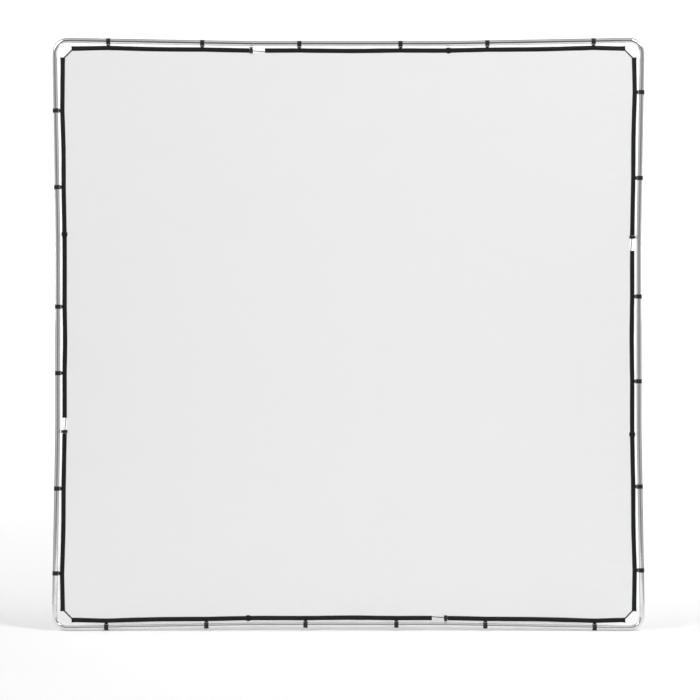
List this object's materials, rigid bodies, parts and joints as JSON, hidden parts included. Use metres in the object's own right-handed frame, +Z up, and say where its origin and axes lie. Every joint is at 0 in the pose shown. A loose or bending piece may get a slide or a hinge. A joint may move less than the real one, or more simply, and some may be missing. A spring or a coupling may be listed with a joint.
{
  "type": "scrim frame",
  "caption": "Square collapsible aluminium tube frame with rounded corners, holding a white diffusion cover by black snap clips along a corded hem.",
  "frame": {"origin": "middle of the bottom edge, in the plane of the tubes and the cover", "axes": "+Z up, +X to the right of a viewer at the front, +Y away from that viewer, so the front faces -Y"},
  "size_m": [2.9, 0.0286, 2.9],
  "materials": {
    "tube": "polished aluminium tube, fine drawn lines along its length",
    "spigot": "plain mill-finish aluminium",
    "rivet": "plain steel blind rivet, flush outside",
    "shock_cord": "white braided elastic cord",
    "diffusion_fabric": "thin white translucent diffusion cloth, nearly flat",
    "hem": "black nylon webbing, rounded over its cord",
    "drawcord": "black braided elastic cord",
    "lock_barrel": "black moulded plastic, fine texture",
    "lock_button": "black moulded plastic, slightly worn on top",
    "lock_spring": "bright spring wire",
    "clip": "black moulded plastic, satin",
    "webbing": "black woven strap, sewn to the hem"
  },
  "bodies": {
    "lower_frame": {"elbow_bottom_right": "tube", "elbow_bottom_left": "tube", "tube_bottom_1": "tube", "tube_bottom_2": "tube", "tube_bottom_3": "tube", "tube_right_2": "tube", "tube_right_3": "tube", "tube_left_1": "tube", "tube_left_2": "tube", "spigots_lower": "spigot", "spigot_rivets_lower": "rivet", "cover_fabric": "diffusion_fabric", "hem_lower": "hem", "drawcord": "drawcord", "cord_lock_barrels_lower": "lock_barrel", "cord_lock_springs_lower": "lock_spring", "clip_straps_lower": "webbing", "shock_cord": "shock_cord"},
    "upper_frame": {"elbow_top_left": "tube", "elbow_top_right": "tube", "tube_top_1": "tube", "tube_top_2": "tube", "tube_top_3": "tube", "tube_right_1": "tube", "tube_left_3": "tube", "spigots_upper": "spigot", "spigot_rivets_upper": "rivet", "hem_upper": "hem", "cord_lock_barrels_upper": "lock_barrel", "cord_lock_springs_upper": "lock_spring", "clip_straps_upper": "webbing"},
    "button_top": {"cord_lock_button_top": "lock_button"},
    "button_right": {"cord_lock_button_right": "lock_button"},
    "button_bottom": {"cord_lock_button_bottom": "lock_button"},
    "button_left": {"cord_lock_button_left": "lock_button"},
    "clip_top_1_body": {"clip_top_1": "clip"},
    "clip_top_2_body": {"clip_top_2": "clip"},
    "clip_top_3_body": {"clip_top_3": "clip"},
    "clip_top_4_body": {"clip_top_4": "clip"},
    "clip_top_5_body": {"clip_top_5": "clip"},
    "clip_top_6_body": {"clip_top_6": "clip"},
    "clip_right_1_body": {"clip_right_1": "clip"},
    "clip_right_2_body": {"clip_right_2": "clip"},
    "clip_right_3_body": {"clip_right_3": "clip"},
    "clip_right_4_body": {"clip_right_4": "clip"},
    "clip_right_5_body": {"clip_right_5": "clip"},
    "clip_right_6_body": {"clip_right_6": "clip"},
    "clip_bottom_1_body": {"clip_bottom_1": "clip"},
    "clip_bottom_2_body": {"clip_bottom_2": "clip"},
    "clip_bottom_3_body": {"clip_bottom_3": "clip"},
    "clip_bottom_4_body": {"clip_bottom_4": "clip"},
    "clip_bottom_5_body": {"clip_bottom_5": "clip"},
    "clip_bottom_6_body": {"clip_bottom_6": "clip"},
    "clip_left_1_body": {"clip_left_1": "clip"},
    "clip_left_2_body": {"clip_left_2": "clip"},
    "clip_left_3_body": {"clip_left_3": "clip"},
    "clip_left_4_body": {"clip_left_4": "clip"},
    "clip_left_5_body": {"clip_left_5": "clip"},
    "clip_left_6_body": {"clip_left_6": "clip"}
  },
  "joints": [
    {"name": "upper_frame_lift", "type": "slide", "parent": "lower_frame", "child": "upper_frame", "axis": [0, 0, 1], "range_m": [0, 0.065], "deforming": ["shock_cord", "drawcord", "cover_fabric"]},
    {"name": "cord_lock_top_press", "type": "slide", "parent": "upper_frame", "child": "button_top", "axis": [0, 0, -1], "range_m": [0, 0.0035], "stiffness_N_per_m": 800, "springref_m": -0.003},
    {"name": "cord_lock_right_press", "type": "slide", "parent": "upper_frame", "child": "button_right", "axis": [-1, 0, 0], "range_m": [0, 0.0035], "stiffness_N_per_m": 800, "springref_m": -0.003},
    {"name": "cord_lock_bottom_press", "type": "slide", "parent": "lower_frame", "child": "button_bottom", "axis": [0, 0, 1], "range_m": [0, 0.0035], "stiffness_N_per_m": 800, "springref_m": -0.003},
    {"name": "cord_lock_left_press", "type": "slide", "parent": "lower_frame", "child": "button_left", "axis": [1, 0, 0], "range_m": [0, 0.0035], "stiffness_N_per_m": 800, "springref_m": -0.003},
    {"name": "clip_top_1_roll", "type": "hinge", "parent": "upper_frame", "child": "clip_top_1_body", "pos_m": [-1.17508, 0, 2.88489], "axis": [0.9998, 0, -0.0174], "range_deg": [-30, 30]},
    {"name": "clip_top_2_roll", "type": "hinge", "parent": "upper_frame", "child": "clip_top_2_body", "pos_m": [-0.71514, 0, 2.87688], "axis": [0.9998, 0, -0.0174], "range_deg": [-30, 30]},
    {"name": "clip_top_3_roll", "type": "hinge", "parent": "upper_frame", "child": "clip_top_3_body", "pos_m": [-0.24012, 0, 2.8725], "axis": [1, 0, 0], "range_deg": [-30, 30]},
    {"name": "clip_top_4_roll", "type": "hinge", "parent": "upper_frame", "child": "clip_top_4_body", "pos_m": [0.25491, 0, 2.8725], "axis": [1, 0, 0], "range_deg": [-30, 30]},
    {"name": "clip_top_5_roll", "type": "hinge", "parent": "upper_frame", "child": "clip_top_5_body", "pos_m": [0.68005, 0, 2.87626], "axis": [0.9998, 0, 0.0174], "range_deg": [-30, 30]},
    {"name": "clip_top_6_roll", "type": "hinge", "parent": "upper_frame", "child": "clip_top_6_body", "pos_m": [1.20002, 0, 2.88532], "axis": [0.9998, 0, 0.0174], "range_deg": [-30, 30]},
    {"name": "clip_right_1_roll", "type": "hinge", "parent": "upper_frame", "child": "clip_right_1_body", "pos_m": [1.43506, 0, 2.63494], "axis": [-0.0174, 0, -0.9998], "range_deg": [-30, 30]},
    {"name": "clip_right_2_roll", "type": "hinge", "parent": "upper_frame", "child": "clip_right_2_body", "pos_m": [1.42774, 0, 2.21502], "axis": [-0.0174, 0, -0.9998], "range_deg": [-30, 30]},
    {"name": "clip_right_3_roll", "type": "hinge", "parent": "lower_frame", "child": "clip_right_3_body", "pos_m": [1.4225, 0, 1.63502], "axis": [0, 0, -1], "range_deg": [-30, 30]},
    {"name": "clip_right_4_roll", "type": "hinge", "parent": "lower_frame", "child": "clip_right_4_body", "pos_m": [1.4225, 0, 1.22003], "axis": [0, 0, -1], "range_deg": [-30, 30]},
    {"name": "clip_right_5_roll", "type": "hinge", "parent": "lower_frame", "child": "clip_right_5_body", "pos_m": [1.4274, 0, 0.70499], "axis": [0.0174, 0, -0.9998], "range_deg": [-30, 30]},
    {"name": "clip_right_6_roll", "type": "hinge", "parent": "lower_frame", "child": "clip_right_6_body", "pos_m": [1.43454, 0, 0.29493], "axis": [0.0174, 0, -0.9998], "range_deg": [-30, 30]},
    {"name": "clip_bottom_1_roll", "type": "hinge", "parent": "lower_frame", "child": "clip_bottom_1_body", "pos_m": [1.20495, 0, 0.01459], "axis": [-0.9998, 0, 0.0174], "range_deg": [-30, 30]},
    {"name": "clip_bottom_2_roll", "type": "hinge", "parent": "lower_frame", "child": "clip_bottom_2_body", "pos_m": [0.6699, 0, 0.02391], "axis": [-0.9998, 0, 0.0174], "range_deg": [-30, 30]},
    {"name": "clip_bottom_3_roll", "type": "hinge", "parent": "lower_frame", "child": "clip_bottom_3_body", "pos_m": [0.2349, 0, 0.0275], "axis": [-1, 0, 0], "range_deg": [-30, 30]},
    {"name": "clip_bottom_4_roll", "type": "hinge", "parent": "lower_frame", "child": "clip_bottom_4_body", "pos_m": [-0.20996, 0, 0.0275], "axis": [-1, 0, 0], "range_deg": [-30, 30]},
    {"name": "clip_bottom_5_roll", "type": "hinge", "parent": "lower_frame", "child": "clip_bottom_5_body", "pos_m": [-0.69513, 0, 0.02347], "axis": [-0.9998, 0, -0.0174], "range_deg": [-30, 30]},
    {"name": "clip_bottom_6_roll", "type": "hinge", "parent": "lower_frame", "child": "clip_bottom_6_body", "pos_m": [-1.18494, 0, 0.01494], "axis": [-0.9998, 0, -0.0174], "range_deg": [-30, 30]},
    {"name": "clip_left_1_roll", "type": "hinge", "parent": "lower_frame", "child": "clip_left_1_body", "pos_m": [-1.4348, 0, 0.28014], "axis": [0.0174, 0, 0.9998], "range_deg": [-30, 30]},
    {"name": "clip_left_2_roll", "type": "hinge", "parent": "lower_frame", "child": "clip_left_2_body", "pos_m": [-1.42757, 0, 0.69513], "axis": [0.0174, 0, 0.9998], "range_deg": [-30, 30]},
    {"name": "clip_left_3_roll", "type": "hinge", "parent": "lower_frame", "child": "clip_left_3_body", "pos_m": [-1.4225, 0, 1.26005], "axis": [0, 0, 1], "range_deg": [-30, 30]},
    {"name": "clip_left_4_roll", "type": "hinge", "parent": "lower_frame", "child": "clip_left_4_body", "pos_m": [-1.4225, 0, 1.58514], "axis": [0, 0, 1], "range_deg": [-30, 30]},
    {"name": "clip_left_5_roll", "type": "hinge", "parent": "upper_frame", "child": "clip_left_5_body", "pos_m": [-1.42696, 0, 2.17007], "axis": [-0.0174, 0, 0.9998], "range_deg": [-30, 30]},
    {"name": "clip_left_6_roll", "type": "hinge", "parent": "upper_frame", "child": "clip_left_6_body", "pos_m": [-1.43349, 0, 2.54504], "axis": [-0.0174, 0, 0.9998], "range_deg": [-30, 30]}
  ]
}
